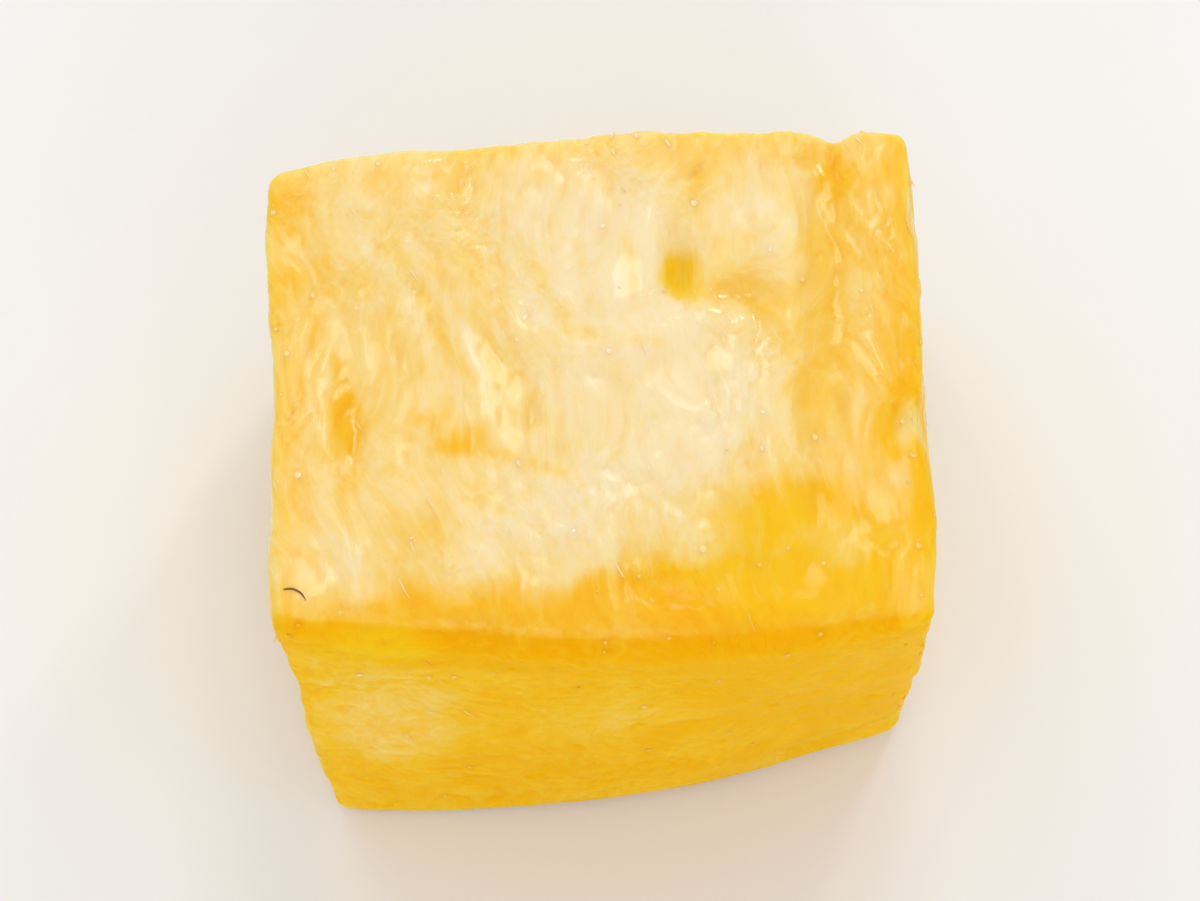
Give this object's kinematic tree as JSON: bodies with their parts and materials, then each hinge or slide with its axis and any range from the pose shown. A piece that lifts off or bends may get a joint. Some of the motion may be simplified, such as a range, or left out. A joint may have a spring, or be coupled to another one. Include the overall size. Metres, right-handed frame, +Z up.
{
  "type": "pineapple cube",
  "caption": "Bite-sized cube of ripe pineapple flesh, knife-cut on every side, with fibre grooves and a flat underside to rest on.",
  "frame": {"origin": "middle of the underside, on the surface the cube rests on", "axes": "+Z up, +X along the cube's width, -Y towards the side that faced the rind, +Y towards the fruit's core"},
  "size_m": [0.0254, 0.0216, 0.0205],
  "materials": {
    "pineapple_flesh": "wet, slightly translucent fruit flesh"
  },
  "bodies": {
    "root": {"pineapple_cube": "pineapple_flesh"}
  },
  "joints": []
}
